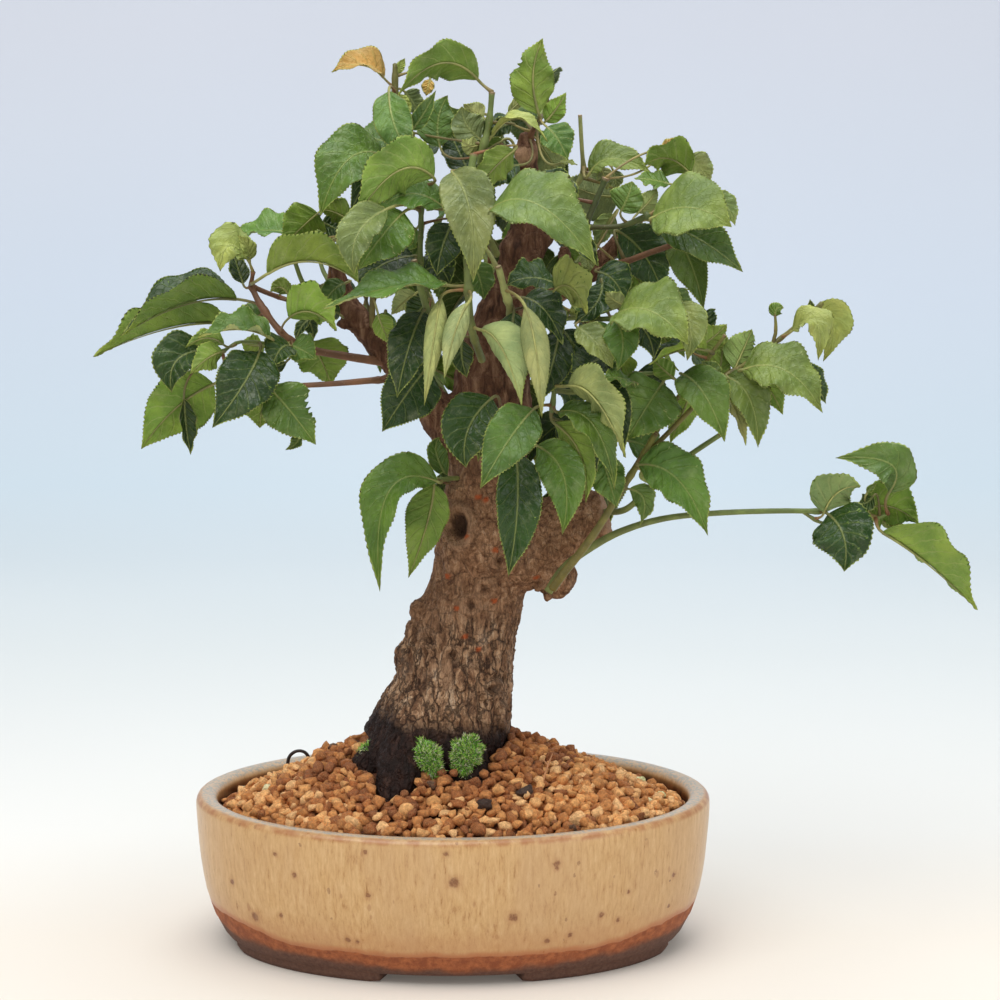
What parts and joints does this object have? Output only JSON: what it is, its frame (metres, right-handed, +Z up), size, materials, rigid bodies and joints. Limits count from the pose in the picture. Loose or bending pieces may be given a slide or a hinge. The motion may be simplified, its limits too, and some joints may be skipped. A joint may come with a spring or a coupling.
{
  "type": "bonsai tree in a pot",
  "caption": "Broadleaf bonsai with a thick gnarled trunk and leafy shoots, standing in granular soil in an oval glazed stoneware pot on feet.",
  "frame": {"origin": "Centre of the outside box in X and Y, at the height of the pot's feet.", "axes": "+Z up. The pot's long side runs along X. -Y is the front, the side the shoots lean toward."},
  "size_m": [0.4346, 0.2088, 0.4551],
  "materials": {
    "pot_glaze": "satin",
    "drain_mesh": "matte",
    "soil_grain": "matte",
    "wire": "satin",
    "moss": "matte",
    "dark_stone": "matte",
    "bark": "matte",
    "foliage": "satin"
  },
  "bodies": {
    "root": {"pot": "pot_glaze", "pot_foot_front_right": "pot_glaze", "pot_foot_front_left": "pot_glaze", "pot_foot_back_right": "pot_glaze", "pot_foot_back_left": "pot_glaze", "drain_screen_right": "drain_mesh", "drain_screen_left": "drain_mesh", "soil_bed": "soil_grain", "anchor_wire": "wire", "moss_left": "moss", "moss_middle": "moss", "moss_right": "moss", "dark_stone_front": "dark_stone", "dark_stone_side": "dark_stone", "loose_root_bit": "bark", "trunk": "bark", "shoot_left_outer": "foliage", "shoot_left_side": "foliage", "shoot_left_lower": "foliage", "shoot_left_upper": "foliage", "shoot_top_left": "foliage", "shoot_front_left": "foliage", "shoot_cut_left": "foliage", "shoot_front_mid": "foliage", "shoot_top_cut": "foliage", "shoot_cut_mid": "foliage", "shoot_leader": "foliage", "shoot_upper_right_b": "foliage", "shoot_upper_right_d": "foliage", "shoot_upper_right_e": "foliage", "shoot_right_inner": "foliage", "shoot_centre": "foliage", "shoot_low_centre": "foliage", "shoot_right_mid": "foliage", "shoot_right_olive": "foliage", "shoot_right_cut": "foliage", "shoot_far_right": "foliage", "shoot_low_left": "foliage", "shoot_back_low": "foliage", "shoot_back_mid": "foliage", "shoot_back_right_low": "foliage", "shoot_back_left": "foliage", "shoot_back_left_limb": "foliage", "shoot_back_left_tip": "foliage", "shoot_back_upper": "foliage", "shoot_back_leader": "foliage", "shoot_back_crown": "foliage", "shoot_back_right": "foliage", "shoot_back_right_tip": "foliage", "shoot_back_top": "foliage", "shoot_inner_left": "foliage", "shoot_inner_right": "foliage"}
  },
  "joints": []
}
